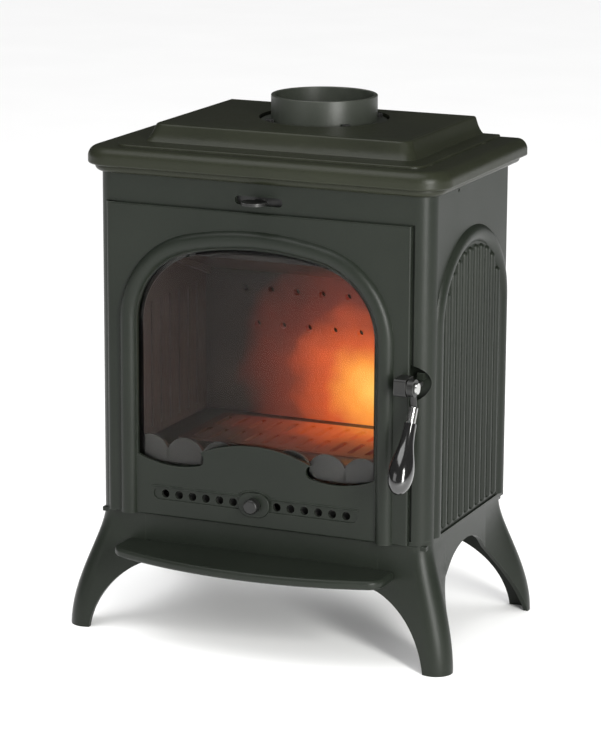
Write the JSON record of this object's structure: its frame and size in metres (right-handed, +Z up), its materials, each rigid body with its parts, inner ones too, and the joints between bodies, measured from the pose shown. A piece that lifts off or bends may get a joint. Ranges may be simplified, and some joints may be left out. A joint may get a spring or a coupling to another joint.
{
  "type": "wood burning stove",
  "caption": "Free-standing cast-iron wood stove with an arched glass door, flared legs, ash shelf and top flue collar.",
  "frame": {"origin": "centre of the footprint box, on the floor", "axes": "+Z up, the door faces -Y, +X is to the right when facing the door"},
  "size_m": [0.5786, 0.424, 0.7456],
  "materials": {
    "cast_iron": "matt heat-resistant paint",
    "flue_iron": "matt heat-resistant paint",
    "firebox_iron": "bare and scorched",
    "glass": "clear ceramic",
    "gasket": "woven glass fibre",
    "bright_steel": "plated",
    "dark_steel": "blackened",
    "grip": "gloss black thermoset",
    "sheet_steel": "dull sheet"
  },
  "bodies": {
    "stove": {"airwash_guides": "sheet_steel", "ash_box": "sheet_steel", "ash_shelf": "cast_iron", "baffle": "firebox_iron", "base_casting": "cast_iron", "collar_bolts": "dark_steel", "cover_plate": "cast_iron", "fireback": "firebox_iron", "flue_collar": "flue_iron", "front_frame": "cast_iron", "grate": "firebox_iron", "hearth_plate": "firebox_iron", "hinge_pins": "dark_steel", "keeper_block": "cast_iron", "leg_bolts": "dark_steel", "leg_front_left": "cast_iron", "leg_front_right": "cast_iron", "leg_rear_left": "cast_iron", "leg_rear_right": "cast_iron", "liner_left": "firebox_iron", "liner_right": "firebox_iron", "log_retainer": "firebox_iron", "rear_panel": "cast_iron", "shelf_brackets": "cast_iron", "side_panel_left": "cast_iron", "side_panel_right": "cast_iron", "tie_rods": "dark_steel", "top_casting": "cast_iron"},
    "door": {"door_casting": "cast_iron", "door_glass": "glass", "glass_gasket": "gasket", "glass_retainer": "dark_steel", "glass_screws": "bright_steel", "door_rope_seal": "gasket", "air_guides": "sheet_steel", "handle_bracket": "cast_iron", "bracket_screws": "bright_steel", "handle_pivot": "dark_steel"},
    "handle": {"handle_lever": "dark_steel", "handle_ferrule": "bright_steel", "handle_grip": "grip"},
    "air_slide": {"air_plate": "sheet_steel", "air_knob": "dark_steel"},
    "airwash_slide": {"airwash_shutter": "sheet_steel", "airwash_lever": "dark_steel"},
    "ash_drawer": {"ash_pan": "sheet_steel", "ash_pan_handle": "sheet_steel"}
  },
  "joints": [
    {"name": "door_swing", "type": "hinge", "parent": "stove", "child": "door", "pos_m": [-0.2247, -0.1155, 0.39165], "axis": [0, 0, -1], "range_deg": [0, 100]},
    {"name": "handle_lift", "type": "hinge", "parent": "door", "child": "handle", "pos_m": [0.2335, -0.143, 0.39801], "axis": [-1, 0, 0], "range_deg": [0, 70]},
    {"name": "air_register_slide", "type": "slide", "parent": "door", "child": "air_slide", "axis": [1, 0, 0], "range_m": [-0.008, 0.008]},
    {"name": "airwash_damper_slide", "type": "slide", "parent": "stove", "child": "airwash_slide", "axis": [1, 0, 0], "range_m": [-0.026, 0.026]},
    {"name": "ash_pan_slide", "type": "slide", "parent": "stove", "child": "ash_drawer", "axis": [0, -1, 0], "range_m": [0, 0.1048]}
  ],
  "couplings": [
    {"joint": "ash_pan_slide", "follows": "door_swing", "m_per_rad": 0.06}
  ]
}
